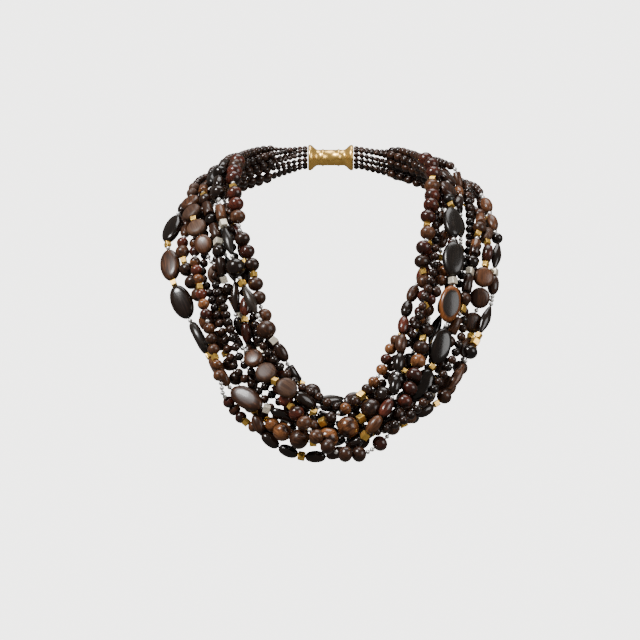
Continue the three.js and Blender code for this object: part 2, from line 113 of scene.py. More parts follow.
FORM = np.array([
    (-60, 58, 56, 60), (0, 60, 57, 62), (8, 63, 57.5, 63), (20, 74, 58.5, 66), (32, 88, 60, 71),
    (42, 100, 62, 75), (52, 112, 64, 79), (62, 132, 66, 83), (74, 165, 69, 88), (100, 180, 75, 98),
    (160, 182, 92, 112), (260, 176, 122, 122),
])
RIDGE = np.array([(0, 30), (58, 12), (62, -6), (74, -24), (92, -47), (114, -58), (180, -73)])
FALL = np.array([
    (0, 0), (5, 13), (12, 25), (22, 36), (35, 45), (55, 53), (85, 60), (130, 72), (200, 92), (300, 112),
])

# Routes and beads from the front view: across, down, height over the form, and
# the beads from there to the next point, each a kind and, where it isn't the string's usual
# one, a finish

STRANDS = {
    "round_strand": dict(tube=10.2, tones="rrrb", rows=[
        (238, 156, 10, "r r r r s"), (231, 188, 14, "g r r r s s"), (239, 234, 15, "rd r rd g"),
        (249, 278, 15, "rb rb s"), (257, 310, 10, "rb rd r r"), (269, 362, 5, "r s r r"),
        (288, 402, 4, "g r r s r r s"), (338, 457, 5, "rd rd"), (364, 453, 8, "s s r s"),
        (388, 433, 9, "rb rd r r"), (413, 382, 15, "r rt rd g rd"), (424, 320, 16, "s s rb r rb g"),
        (425, 266, 16, "rd r s rb g r r r rb g r"), (434, 171, 12, "r r"), (421, 158, 12, ""),
    ]),
    "mixed_strand": dict(tones="kdkb", rows=[
        (226, 158, 12, "tk rk"), (219, 183, 17, "kk rk s s tb qw"), (227, 227, 17, "bh s Lk s"),
        (244, 282, 17, "g bh s s"), (262, 325, 16, "Lb qw kd s"), (287, 370, 14, "tk g Ld s s"),
        (325, 412, 12, "k r b s g r k"), (430, 407, 7, "g r b s r q"), (473, 340, 8, "g bk s"),
        (486, 299, 10, "s s kd qw"), (490, 268, 11, "bk mk s k s k s s"), (479, 193, 12, ""),
    ]),
    "bicone_strand": dict(tube=6.4, tones="hhk", rows=[
        (210, 172, 8, "k"), (210, 196, 5, "b s b"), (222, 226, 4, "b s b"), (231, 283, 4, "b s k"),
        (248, 332, 4, "b k"), (276, 378, 4, "k s k"), (314, 406, 4, "b s b s"),
        (392, 398, 4, "b s b"), (428, 345, 4, "b k"), (446, 298, 4, "b s k s"),
        (458, 245, 4, "s b s b s"), (460, 192, 5, ""),
    ]),
    "tube_strand": dict(tube=8.2, tones="dkd", rows=[
        (206, 186, 10, "tt s"), (209, 200, 14, "g ud tb u tb qw"), (216, 247, 16, "uk td qw"),
        (226, 283, 16, "uk td qw s"), (241, 320, 15, "ud td qw"), (260, 355, 14, "uk tk g s"),
        (284, 391, 8, "uk t q t s"), (340, 425, 4, "u t q t"), (400, 425, 6, "q uk tb"),
        (430, 395, 10, "qw uk tb"), (449, 356, 14, "qw ub tb s"), (462, 313, 15, "q ud td"),
        (471, 276, 16, "qw uk tt s"), (475, 237, 16, "g ub tb u t"), (472, 201, 15, "g ub tb s"),
        (445, 167, 11, ""),
    ]),
    "coin_strand": dict(tones="ccb", rows=[
        (197, 182, 15, "m"), (197, 191, 15, "m s cb cc g"), (200, 222, 16, "cc cb s s"),
        (208, 262, 16, "cc cb g"), (224, 308, 15, "db s dd s"), (243, 353, 16, "s cb cc g"),
        (276, 392, 17, "cc ok s ok"), (346, 410, 10, "cd g cb s cb c"), (440, 397, 7, "cb s r"),
        (461, 361, 10, "s cb"), (471, 339, 10, "g cb s c cb g"), (480, 264, 10, "dr g d s c g"),
        (485, 217, 11, "s cd"), (478, 195, 11, ""),
    ]),
    "oval_strand": dict(tones="khd", rows=[
        (196, 214, 10, "dk s"), (194, 219, 12, "Ok g s"), (186, 247, 12, "Ob g"),
        (189, 284, 12, "Ok s"), (196, 323, 14, "Dh g"), (211, 360, 15, "Db s"),
        (233, 390, 19, "Ob qw"), (274, 412, 16, "Dk s"), (308, 429, 11, "Ok s"),
        (345, 442, 7, "cb g"), (380, 430, 7, "Dk s"), (416, 402, 12, "Ok g"),
        (431, 366, 20, "Ok s"), (443, 324, 25, "Oo qw"), (449, 279, 25, "Oh s"),
        (452, 241, 24, "Oh g m"), (452, 207, 15, "cd s cd s"), (450, 182, 12, ""),
    ]),
    "graduated_strand": dict(tones="tdb", rows=[
        (194, 207, 8, "kd kd kb s"), (189, 241, 12, "mr rb g r"), (196, 273, 14, "rd rb g s"),
        (208, 309, 16, "Rt Rd g"), (227, 355, 15, "rt rd rb r"), (257, 407, 12, "rb g r"),
        (278, 431, 18, "Lt Lb q"), (322, 449, 20, "Rt Rt q"), (364, 417, 20, "Rd Lk s"),
        (388, 387, 12, "Lk g Lk s"), (408, 347, 6, "k g k s"), (430, 302, 6, "k k g s"),
        (444, 252, 6, "k s k s k s k s"), (448, 184, 6, ""),
    ]),
    "small_round_strand": dict(tube=7.8, tones="rbtr", rows=[
        (202, 200, 4, "m m m g m s"), (197, 243, 4, "m m s m m m g m m m s m"),
        (212, 335, 4, "m m g m m s"), (224, 386, 6, "s s s"), (228, 399, 8, "mr md mr g"),
        (247, 422, 9, "mb md mb g"), (281, 431, 16, "mb s mr mb q"), (327, 421, 21, "md s mt md q"),
        (364, 393, 16, "md mt s"), (380, 375, 13, "mt mr mt mb g"),
        (405, 331, 9, "mr md mr g m m s"), (436, 290, 4, "m m m"), (448, 255, 4, "m m m g m m m m"),
        (448, 200, 4, "m m s"), (440, 178, 4, ""),
    ]),
    "rice_strand": dict(tube=7.6, tones="dbr", rows=[
        (217, 180, 5, "k k s k g"), (230, 222, 4, "k k g k s s"), (243, 300, 4, "k g k k s"),
        (255, 370, 4, "k k g k"), (264, 436, 6, "kk kk q"), (305, 458, 9, "kd kd"),
        (347, 456, 14, "kk q"), (370, 438, 18, "kb kr s"), (394, 398, 20, "kk s"),
        (397, 373, 19, "kk kb kr kk"), (415, 299, 10, "kb s k k g"), (438, 245, 4, "kd kb s k k s"),
        (442, 186, 5, ""),
    ]),
    "inner_strand": dict(tube=6.0, fill="n", tones="kdd", rows=[
        (226, 174, 4), (231, 235, 2), (241, 285, 2), (257, 330, 2), (284, 376, 2), (320, 408, 2),
        (350, 412, 2), (378, 396, 2), (406, 350, 2), (426, 300, 2), (433, 245, 2), (438, 182, 4),
    ]),
    "middle_strand": dict(tube=6.0, fill="n", tones="kdk", rows=[
        (212, 190, 4), (214, 240, 2), (222, 290, 2), (236, 338, 2), (262, 385, 2), (300, 417, 2),
        (345, 426, 2), (394, 410, 2), (438, 350, 2), (455, 298, 2), (466, 245, 2), (464, 190, 4),
    ]),
    "outer_strand": dict(tube=6.0, fill="n", tones="dkd", rows=[
        (206, 196, 4), (204, 240, 2), (211, 290, 2), (225, 340, 2), (250, 390, 2), (292, 430, 2),
        (345, 438, 2), (398, 424, 2), (440, 380, 2), (464, 315, 2), (475, 252, 2), (470, 196, 4),
    ]),
}

# Threading and settling, in millimetres, as in the model

CREST_BACK, CREST_REACH = 4, 15  # where the charted stretch starts, and how soon its height counts
GAP = 0.6  # clear space asked for between two strings while they settle
CLEAR = 0.5  # clear space that is left between two beads that stay pressed together
CLASP_Y, CLASP_Z, CLASP_HALF = 74, 3, 16.7
RING = 7.2  # the string ends sit on this radius in front of the clasp's face
SLENDER = 7  # slender beads beside the clasp
SEAT = 0.3  # gap between a string end and the clasp
CURVE_STEPS = 12  # short steps of a route between two of its points
FILL_SLACK = 0.2  # room for each bead of a string that is filled with one kind
SLACK = (0.1, 1.2)  # least and most play of a bead on its string
SKIN = 0.3  # height of the lowest beads over the form
STEPS = 560  # steps of settling
SOFT = 260  # steps over which the beads give way
SINK = 0.05  # share of its height that a bead sinks at a time
HOLD_FRONT = 0.4  # share by which a bead is drawn back to its charted place in the front view
HOLD_DEEP = 0.05  # the same, in depth
HOLD_LAST = 0.4  # share of the front hold that stays to the end


def place(across, down, lift):
    """The chart point in millimetres, laid on the front of the form."""
    y = -60.0
    for _ in range(6):
        k = CHART_UNIT * (EYE_DISTANCE + y) / EYE_DISTANCE
        x = (CHART_EYE - CHART_MIDDLE) * CHART_UNIT + (across - CHART_EYE) * k
        z = (CHART_TOP - CHART_EYE) * CHART_UNIT - (down - CHART_EYE) * k
        drop = max(np.interp(abs(x), RIDGE[:, 0], RIDGE[:, 1]) + lift - z, 0)
        fall = np.interp(drop, FALL[:, 0], FALL[:, 1])
        y = CREST_BACK - fall - lift * drop / (drop + CREST_REACH)
    return np.array((x, y, z))


def end_angles(rows):
    """Angles of the string ends round the clasp: the outer half of the strings down its outer
    side, the inner half down its inner side, the highest string of each at the top."""
    layers = sorted(range(len(rows)), key=lambda i: -rows[i][2])
    half = len(rows) // 2
    angles = [0.0] * len(rows)
    for inner, layer in enumerate((layers[:half], layers[half:])):
        for rank, i in enumerate(sorted(layer, key=lambda i: rows[i][1])):
            away = (rank + 0.5) * math.pi / half
            angles[i] = math.pi / 2 + (away if inner else -away)
    return angles


def around_nape(crest, side, angle):
    """Points from the last charted one round the neck to the clasp."""
    end = np.array((
        side * (CLASP_HALF + SEAT),
        CLASP_Y + RING * math.cos(angle),
        CLASP_Z + RING * math.sin(angle),
    ))
    points = []
    for j in range(1, 6):
        turn = math.pi / 2 * j / 6
        points.append(np.array((
            end[0] + (crest[0] - end[0]) * math.cos(turn),
            crest[1] + (end[1] - crest[1]) * math.sin(turn),
            crest[2] + (end[2] - crest[2]) * j / 6,
        )))
    return points + [end + (side * KINDS["e"][0], 0, 0), end]


def smooth(points):
    """A curve through the points, in short steps."""
    p = [2 * points[0] - points[1], *points, 2 * points[-1] - points[-2]]
    out = []
    for a, b, c, d in zip(p, p[1:], p[2:], p[3:]):
        for j in range(CURVE_STEPS):
            t = j / CURVE_STEPS
            square, third = 2 * a - 5 * b + 4 * c - d, 3 * b - a - 3 * c + d
            out.append(0.5 * (2 * b + (c - a) * t + square * t * t + third * t ** 3))
    return np.array([*out, points[-1]])


def kind_length(beads):
    """The length that the beads take on their string."""
    return sum(KINDS[b[0]][0] for b in beads)


def thread(rows, fill, ends):
    """Threads the beads on a route: the beads, where each starts, and the length it takes."""
    front = [place(*row[:3]) for row in rows]
    left = around_nape(front[0], -1, ends[0])[::-1]
    right = around_nape(front[-1], 1, ends[1])
    curve = smooth([*left, *front, *right])
    run = np.concatenate([[0], np.cumsum(np.linalg.norm(np.diff(curve, axis=0), axis=1))])
    marks = [run[(len(left) + i) * CURVE_STEPS] for i in range(len(front))]

    def plain(length):
        """Hidden beads on the stretch between the chart and the clasp."""
        beads = ["e"] * SLENDER
        while kind_length(beads) + KINDS["p"][0] < length:
            beads.append("p")
        return beads

    parts = [(0, marks[0], plain(marks[0]))]
    for a, b, row in zip(marks, marks[1:], rows):
        if fill:
            some = [fill] * int((b - a) / (KINDS[fill][0] + FILL_SLACK))
        else:
            some = row[3].split()
        parts.append((a, b, some))
    parts.append((marks[-1], run[-1], plain(run[-1] - marks[-1])[::-1]))
    beads, at = [], []
    for start, end, some in parts:
        slack = (end - start - kind_length(some)) / len(some)
        for bead in some:
            beads.append(bead)
            at.append(start)
            start += KINDS[bead[0]][0] + slack
    at = np.array([*at, run[-1]])
    nodes = np.stack([np.interp(at, run, curve[:, axis]) for axis in range(3)], axis=1)
    nodes[1] = left[0] + (-KINDS["e"][0], 0, 0)
    nodes[-2] = right[-1] + (KINDS["e"][0], 0, 0)
    lengths = np.array([KINDS[b[0]][0] for b in beads])
    return beads, nodes, lengths + np.clip(np.diff(at) - lengths, *SLACK)


def form_value(p):
    """Below zero inside the drape form."""
    drop = -p[:, 2]
    front, back = (np.interp(drop, FORM[:, 0], FORM[:, k]) for k in (2, 3))
    depth = np.where(p[:, 1] < 0, front, back)
    half = np.interp(drop, FORM[:, 0], FORM[:, 1])
    return np.sqrt((p[:, 0] / half) ** 2 + (p[:, 1] / depth) ** 2) - 1


def form(p):
    """Heights over the drape form and the directions away from it."""
    e = 4.0
    steps = e * np.eye(3)
    g = np.stack([(form_value(p + s) - form_value(p - s)) / (2 * e) for s in steps], axis=1)
    n = np.linalg.norm(g, axis=1)
    return form_value(p) / n, g / n[:, None]


def units(v):
    """The rows of v, each made one long."""
    return v / np.maximum(np.linalg.norm(v, axis=1), 1e-6)[:, None]


def share(shape, t):
    """Share of a bead's width at share t of its length, as settling sees it."""
    u = abs(2 * t - 1)
    if shape in ("tube", "spacer", "plain"):
        return 1.0
    if shape == "bicone":
        return max(1 - 0.75 * u ** 1.6, 0.3)
    return max(math.sqrt(1 - u * u), 0.3)


def settle(strings):
    """Shakes the threaded beads down until no string runs through another."""
    X = np.concatenate([s["nodes"] for s in strings])
    start = X.copy()
    moves = np.ones(len(X))
    links, rest = [], []
    A, B, S, T, W, H = [], [], [], [], [], []
    first = 0
    for number, s in enumerate(strings):
        last = first + len(s["beads"])
        moves[[first, first + 1, last - 1, last]] = 0
        for i, bead in enumerate(s["beads"]):
            length, width, thick, _, shape = KINDS[bead[0]]
            tube = s["tube"] if s["tube"] and shape != "plain" else 0
            links.append(first + i)
            rest.append(s["rest"][i])
            places = max(1, math.floor(length / 3 + 0.5))
            for j in range(places):
                t = (j + 0.5) / places
                f = 1 if tube else share(shape, t)
                A.append(first + i)
                B.append(len(links) - 1)
                S.append(number)
                T.append(t)
                W.append((tube or width) / 2 * f)
                H.append((tube or thick) / 2 * f)
        s["first"] = first
        first = last + 1
    A, B, S, T, W, H = (np.array(column) for column in (A, B, S, T, W, H))
    links, rest = np.array(links), np.array(rest)
    weight = (1 - T) ** 2 + T ** 2
    small = 0.25 * np.minimum(W, H)
    wide = np.maximum(W, H)
    inner = np.flatnonzero(moves)

    def places_now():
        return X[A] * (1 - T)[:, None] + X[A + 1] * T[:, None]

    def nearby(P):
        square = sum((P[:, None, axis] - P[None, :, axis]) ** 2 for axis in range(3))
        reach = wide[:, None] + wide[None, :] + 5
        return np.nonzero((square < reach ** 2) & (S[:, None] < S[None, :]))

    def axes(n):
        along = units(X[A + 1] - X[A])
        up = units(n - (n * along).sum(1)[:, None] * along)
        return along, up, np.cross(along, up)

    def support(i, u, along, up, side):
        return np.sqrt(
            (W[i] * (u * side[i]).sum(1)) ** 2
            + (H[i] * (u * up[i]).sum(1)) ** 2
            + (small[i] * (u * along[i]).sum(1)) ** 2
        )

    def spread(pushes, gain):
        shift = np.zeros((len(X), 4))
        for i, v in pushes:
            w1, w2 = (1 - T[i]) / weight[i], T[i] / weight[i]
            for c in range(3):
                shift[:, c] += np.bincount(A[i], v[:, c] * w1, len(X))
                shift[:, c] += np.bincount(A[i] + 1, v[:, c] * w2, len(X))
            shift[:, 3] += np.bincount(A[i], 1 - T[i], len(X)) + np.bincount(A[i] + 1, T[i], len(X))
        return shift[:, :3] * (gain * moves / np.maximum(shift[:, 3], 1))[:, None]

    for step in range(STEPS):
        soft = max(1 - step / SOFT, 0)
        P = places_now()
        if step % 10 == 0:
            one, other = nearby(P)
        if step % 5 == 0:
            n = form(P)[1]
        along, up, side = axes(n)
        u = P[other] - P[one]
        length = np.maximum(np.linalg.norm(u, axis=1), 1e-6)
        u /= length[:, None]
        over = support(one, u, along, up, side) + support(other, u, along, up, side) + GAP - length
        hit = over > 0
        v = u[hit] * (over[hit] / 2)[:, None]
        X = X + spread([(one[hit], -v), (other[hit], v)], 1.3)
        if step % 5 == 0:
            height, away = form(places_now())
            low = np.flatnonzero(height < H + SKIN)
            X = X + spread([(low, away[low] * (H[low] + SKIN - height[low])[:, None])], 1)
            front = HOLD_FRONT * max(soft, HOLD_LAST)
            hold = np.array((front, HOLD_DEEP * soft, front))
            X = X + (-form(X)[1] * SINK * soft + (start - X) * hold) * moves[:, None]
        middle = X[inner - 1] + X[inner + 1] - 2 * X[inner]
        X[inner] += middle * 0.03
        for _ in range(4):
            for parity in (0, 1):
                a, r = links[parity::2], rest[parity::2]
                d = X[a + 1] - X[a]
                length = np.linalg.norm(d, axis=1)
                k = ((length - r) / length * 0.5)[:, None]
                X[a] += d * k * moves[a][:, None]
                X[a + 1] -= d * k * moves[a + 1][:, None]
    size = np.ones(len(links))
    P = places_now()
    along, up, side = axes(form(P)[1])
    one, other = nearby(P)
    u = P[other] - P[one]
    length = np.maximum(np.linalg.norm(u, axis=1), 1e-6)
    u /= length[:, None]
    fit = (length - CLEAR) / (support(one, u, along, up, side) + support(other, u, along, up, side))
    np.minimum.at(size, B[one], fit)
    np.minimum.at(size, B[other], fit)
    for s in strings:
        link = int(np.flatnonzero(links == s["first"])[0])
        s["nodes"] = X[s["first"]:s["first"] + len(s["beads"]) + 1]
        s["size"] = size[link:link + len(s["beads"])]


# Shapes of the beads, each round its own middle, with the string along X, in shares of the
# bead's size

FULLER = 1.05  # the fine beads are this much wider than the plain ones
UNEVEN = 0.03  # share by which beads of one kind differ
BEAD_ROLL, SPACER_ROLL = 0.3, math.pi / 2  # how far beads and spacers turn about their string
HOLE, HOLE_DEPTH = 0.055, 0.10  # radius and depth of the drilled hole, in shares of the bead
HOLE_END = 0.02
CORD_SIDES = 8


def grid_faces(rings, sides, start=0):
    """Faces between rings of vertices that follow each other."""
    faces = []
    for r in range(rings - 1):
        for i in range(sides):
            j = (i + 1) % sides
            a, b = start + r * sides, start + (r + 1) * sides
            faces.append((a + i, a + j, b + j, b + i))
    return faces


def turned(profile, sides):
    """A bead turned about its string, from (place along, radius) pairs, drilled at both ends."""
    first, last = profile[0][0], profile[-1][0]
    rows = [(first + HOLE_DEPTH, HOLE_END), (first, HOLE), *profile]
    rows += [(last, HOLE), (last - HOLE_DEPTH, HOLE_END)]
    turn = [2 * math.pi * i / sides for i in range(sides)]
    points = [(x, r * math.cos(a), r * math.sin(a)) for x, r in rows for a in turn]
    faces = grid_faces(len(rows), sides)
    faces.append(tuple(range(sides)))
    faces.append(tuple(reversed(range(len(points) - sides, len(points)))))
    return np.array(points), faces


def ball_profile(rings, power=1.0, tip=0.07):
    """Radii of a round or rice-shaped bead."""
    first = math.asin(min(1, (tip / 0.5) ** (1 / power)))
    angles = np.linspace(first, math.pi - first, rings)
    return [(-0.5 * math.cos(a), 0.5 * math.sin(a) ** power) for a in angles]


def lens(rings, sides, rim=0.5, dome=0.8):
    """A flat bead: an oval outline with a rounded rim and slightly domed faces."""
    points = []
    for psi in np.linspace(-math.pi / 2, math.pi / 2, rings):
        reach = max(abs(math.cos(psi)) ** rim, 0.02)
        height = math.copysign(abs(math.sin(psi)) ** dome, psi)
        for i in range(sides):
            phi = 2 * math.pi * i / sides
            points.append((0.5 * math.cos(phi) * reach, 0.5 * math.sin(phi) * reach, 0.5 * height))
    faces = grid_faces(rings, sides)
    faces.append(tuple(reversed(range(sides))))
    faces.append(tuple(range(len(points) - sides, len(points))))
    return np.array(points), faces


def cube(bevel):
    """A cube with worn edges."""
    bm = bmesh.new()
    bmesh.ops.create_cube(bm, size=1)
    bmesh.ops.bevel(bm, geom=bm.edges[:], offset=bevel, segments=2, profile=0.6, affect="EDGES")
    points = np.array([v.co[:] for v in bm.verts])
    faces = [tuple(v.index for v in f.verts) for f in bm.faces]
    bm.free()
    return points, faces


def bead_shapes(sides):
    """Every bead's shape, from fine to plain."""
    fine = sides + 8
    tube = [(-0.5, 0.36), (-0.485, 0.45), (-0.455, 0.5), (0.455, 0.5), (0.485, 0.45), (0.5, 0.36)]
    slim = [(x, 0.5 * (1 - 0.74 * (2 * abs(x)) ** 1.7)) for x in np.linspace(-0.5, 0.5, 15)]
    return {
        "round": turned(ball_profile(sides * 2 // 3), sides),
        "rice": turned(ball_profile(sides * 2 // 3, 0.8), sides),
        "ball": turned(ball_profile(9), 14),
        "tube": turned(tube, sides),
        "bicone": turned(slim, sides),
        "flat": lens(sides // 2 + 1, fine),
        "cube": cube(0.09),
    }


def smoothed(piece, which=None):
    """Shades a piece smooth, or only the faces that are asked for."""
    polygons = piece.data.polygons
    polygons.foreach_set("use_smooth", which or [True] * len(polygons))


def build_mesh(name, parts, materials):
    """One mesh from (points, faces, finish, tint, local points, rim) parts, in metres."""
    mesh = bpy.data.meshes.new(name)
    slots = {material: i for i, material in enumerate(materials)}
    points, faces, slot_of, tints, local, rims = [], [], [], [], [], []
    start = 0
    for some, polygons, material, tint, inner, rim in parts:
        points.append(some)
        local.append(inner)
        rims.append(np.broadcast_to(rim, len(some)))
        tints.append(np.full(len(some), tint))
        faces += [tuple(i + start for i in polygon) for polygon in polygons]
        slot_of += [slots[material]] * len(polygons)
        start += len(some)
    mesh.from_pydata((np.concatenate(points) * MM).tolist(), [], faces)
    for material in materials:
        mesh.materials.append(FINISHES[material])
    mesh.polygons.foreach_set("material_index", slot_of)
    tint = mesh.attributes.new("bead_tint", "FLOAT", "POINT")
    tint.data.foreach_set("value", np.concatenate(tints).astype(np.float32))
    place_in = mesh.attributes.new("bead_at", "FLOAT_VECTOR", "POINT")
    place_in.data.foreach_set("vector", np.concatenate(local).astype(np.float32).ravel())
    at_rim = mesh.attributes.new("bead_rim", "FLOAT", "POINT")
    at_rim.data.foreach_set("value", np.concatenate(rims).astype(np.float32))
    mesh.validate()
    piece = bpy.data.objects.new(name, mesh)
    bpy.context.scene.collection.objects.link(piece)
    return piece


def stand_for(piece, node):
    """Makes a piece ride with the necklace in the place of its plain node."""
    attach(piece, "root")
    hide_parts(node)


def settled_strings():
    """The strings with their beads settled, worked out once."""
    if not settled_strings.done:
        strings = []
        ends = zip(*(end_angles([s["rows"][end] for s in STRANDS.values()]) for end in (0, -1)))
        for (name, spec), two in zip(STRANDS.items(), ends):
            beads, nodes, rest = thread(spec["rows"], spec.get("fill"), two)
            strings.append(dict(name=name, beads=beads, nodes=nodes, rest=rest, tube=spec.get("tube")))
        settle(strings)
        settled_strings.done = strings
    return settled_strings.done


settled_strings.done = []


def bead_parts(string, shapes, chance, tones):
    """The placed beads and spacers of a string, in two lists."""
    stones, metal = [], []
    nodes = string["nodes"]
    middles = (nodes[:-1] + nodes[1:]) / 2
    along = units(np.diff(nodes, axis=0))
    n = form(middles)[1]
    up = units(n - (n * along).sum(1)[:, None] * along)
    side = np.cross(along, up)
    for i, bead in enumerate(string["beads"]):
        length, width, thick, look, shape = KINDS[bead[0]]
        spare = chance.random(4)
        points, faces = shapes[look.removesuffix("_on_edge")]
        if look == "flat_on_edge":
            size = np.array((length, thick, width))
            axes = np.stack([along[i], up[i], -side[i]])
        else:
            size = np.array((length, width, thick))
            axes = np.stack([along[i], side[i], up[i]])
        roll = (spare[0] - 0.5) * (SPACER_ROLL if shape == "spacer" else BEAD_ROLL)
        c, s = math.cos(roll), math.sin(roll)
        axes = np.stack([axes[0], axes[1] * c + axes[2] * s, axes[2] * c - axes[1] * s])
        cut = string["size"][i]
        size = size * (1, cut, cut)
        if shape != "spacer":
            wider = FULLER - UNEVEN * spare[2]
            size = size * (1 - UNEVEN * spare[1], wider, wider)
        placed = middles[i] + (points * size) @ axes
        local = points * size + (spare[3] * 400 + i * 37.0, spare[1] * 90, spare[2] * 90)
        rim = np.hypot(points[:, 0], points[:, 1]) * 2
        if bead[0] in METALS:
            metal.append((placed, faces, METALS[bead[1:] or bead[0]], spare[1], local, rim))
        else:
            tone = bead[1:] or (tones[int(spare[0] * len(tones))] if shape != "plain" else "d")
            stones.append((placed, faces, TONES[tone], spare[3], local, rim))
    return stones, metal


def string_part(nodes, radius, sides=CORD_SIDES):
    """The string that the beads hang on."""
    along = units(np.gradient(nodes, axis=0))
    n = form(nodes)[1]
    up = units(n - (n * along).sum(1)[:, None] * along)
    side = np.cross(along, up)
    turn = 2 * np.pi * np.arange(sides) / sides
    points = (
        nodes[:, None, :]
        + radius * np.cos(turn)[None, :, None] * side[:, None, :]
        + radius * np.sin(turn)[None, :, None] * up[:, None, :]
    ).reshape(-1, 3)
    faces = grid_faces(len(nodes), sides)
    faces.append(tuple(reversed(range(sides))))
    faces.append(tuple(range(len(points) - sides, len(points))))
    return points, faces, "string", 0.5, points, 0


# Shader maths


class Finish:
    """A material with its shader, and the nodes that feed it."""

    def __init__(self, name):
        self.material = bpy.data.materials.new(name)
        self.material.use_nodes = True
        self.tree = self.material.node_tree
        self.tree.nodes.clear()
        self.shader = self.tree.nodes.new("ShaderNodeBsdfPrincipled")
        output = self.tree.nodes.new("ShaderNodeOutputMaterial")
        self.tree.links.new(self.shader.outputs[0], output.inputs["Surface"])
        FINISHES[name] = self.material

    def node(self, kind, settings=None, values=None):
        """Makes a node: its settings first, then the values or links of its sockets."""
        made = self.tree.nodes.new(kind)
        for name, setting in (settings or {}).items():
            setattr(made, name, setting)
        for name, value in (values or {}).items():
            self.feed(made.inputs[name], value)
        return made

    def feed(self, socket, value):
        """Links a value to a socket, or sets it there."""
        if isinstance(value, Maths):
            value = value.socket
        if isinstance(value, bpy.types.NodeSocket):
            self.tree.links.new(value, socket)
        else:
            socket.default_value = value

    def stored(self, name):
        """A number kept on the mesh."""
        return Maths(self, self.node("ShaderNodeAttribute", dict(attribute_name=name)).outputs["Fac"])

    def stored_place(self, stretch=(1, 1, 1)):
        """The place inside the bead, in millimetres, its first axis along the string."""
        place_in = self.node("ShaderNodeAttribute", dict(attribute_name="bead_at")).outputs["Vector"]
        return self.node(
            "ShaderNodeVectorMath", dict(operation="MULTIPLY"), {0: place_in, 1: stretch},
        ).outputs[0]

    def noise(self, vector, scale, detail):
        """Soft noise from 0 to 1."""
        values = {"Vector": vector, "Scale": scale, "Detail": detail}
        return Maths(self, self.node("ShaderNodeTexNoise", {}, values).outputs["Fac"])

    def between(self, dark, light, factor):
        """A colour between two, by a factor."""
        return self.node(
            "ShaderNodeMix", dict(data_type="RGBA"), {0: factor, 6: dark, 7: light},
        ).outputs[2]

    def bumped(self, height, strength):
        """Fine relief of the surface."""
        values = {"Strength": strength, "Distance": 0.0002, "Height": height}
        self.feed(self.shader.inputs["Normal"], self.node("ShaderNodeBump", {}, values).outputs[0])


FINISHES = {}


class Maths:
    """A number socket that Python's operators work on."""

    def __init__(self, finish, socket):
        self.finish = finish
        self.socket = socket

    def _do(self, operation, *values, clamp=False):
        settings = dict(operation=operation, use_clamp=clamp)
        made = self.finish.node("ShaderNodeMath", settings, dict(enumerate(values)))
        return Maths(self.finish, made.outputs[0])

    def __add__(self, other):
        return self._do("ADD", self, other)

    def __radd__(self, other):
        return self._do("ADD", other, self)

    def __sub__(self, other):
        return self._do("SUBTRACT", self, other)

    def __rsub__(self, other):
        return self._do("SUBTRACT", other, self)

    def __mul__(self, other):
        return self._do("MULTIPLY", self, other)

    def __rmul__(self, other):
        return self._do("MULTIPLY", other, self)

    def clamped(self):
        return self._do("ADD", self, 0.0, clamp=True)


# Finishes. A polished bead has two tones that its grain runs between, and where it has a
# patch, a third one over part of it or, on a flat bead, away from its rim

ALONG_GRAIN = (0.10, 0.85, 0.85)  # the grain is drawn out along the string
SHEEN, COAT_ROUGHNESS = 0.4, 0.09
GRAIN_RELIEF = 0.05
PATCH_SCALE = 0.11


def polished(name, dark, light, gloss, patch=None, spread=0.5, rimmed=False, coat=0.3):
    """Polished wood or horn: grain along the string, bead by bead a little lighter or darker."""
    finish = Finish(name)
    tint = finish.stored("bead_tint")
    long = finish.stored_place(ALONG_GRAIN)
    grain = finish.noise(long, 1.0, 4.0)
    fine = finish.noise(long, 4.5, 2.0)
    factor = ((grain - 0.38) * 2.4 + (tint - 0.5) * 0.8 + (fine - 0.5) * 0.4).clamped()
    colour = finish.between((*dark, 1), (*light, 1), factor)
    if patch:
        cloud = finish.noise(finish.stored_place(), PATCH_SCALE, 2.0)
        if rimmed:
            cloud = cloud * 0.25 + (1 - finish.stored("bead_rim")) * 1.1
        mask = ((cloud - 1 + spread) * 7 + 0.5).clamped()
        colour = finish.between(colour, (*patch, 1), mask)
    finish.feed(finish.shader.inputs["Base Color"], colour)
    finish.feed(finish.shader.inputs["Roughness"], gloss + (grain - 0.5) * 0.10 + (fine - 0.5) * 0.06)
    finish.shader.inputs["Specular IOR Level"].default_value = SHEEN
    finish.shader.inputs["Coat Weight"].default_value = coat
    finish.shader.inputs["Coat Roughness"].default_value = COAT_ROUGHNESS
    finish.bumped(grain * 0.6 + fine * 0.4, GRAIN_RELIEF)


def plated(name, colour, worn, gloss, dents=0.12, metal=0.85):
    """Plated metal with small dents and a duller, worn tone in patches."""
    finish = Finish(name)
    dent = finish.noise(finish.stored_place(), 0.8, 3.0)
    wear = ((dent - 0.45) * 3).clamped()
    finish.feed(finish.shader.inputs["Base Color"], finish.between((*colour, 1), (*worn, 1), wear))
    finish.feed(finish.shader.inputs["Roughness"], gloss + wear * 0.12)
    finish.shader.inputs["Metallic"].default_value = metal
    finish.bumped(dent, dents)


def twisted(name, dark, light):
    """Dark beading cord with a fine twist."""
    finish = Finish(name)
    twist = Maths(finish, finish.node(
        "ShaderNodeTexWave", dict(bands_direction="DIAGONAL"),
        {"Vector": finish.stored_place(), "Scale": 1.4},
    ).outputs["Fac"])
    finish.feed(finish.shader.inputs["Base Color"], finish.between((*dark, 1), (*light, 1), twist))
    finish.shader.inputs["Roughness"].default_value = 0.75
    finish.bumped(twist, 0.4)


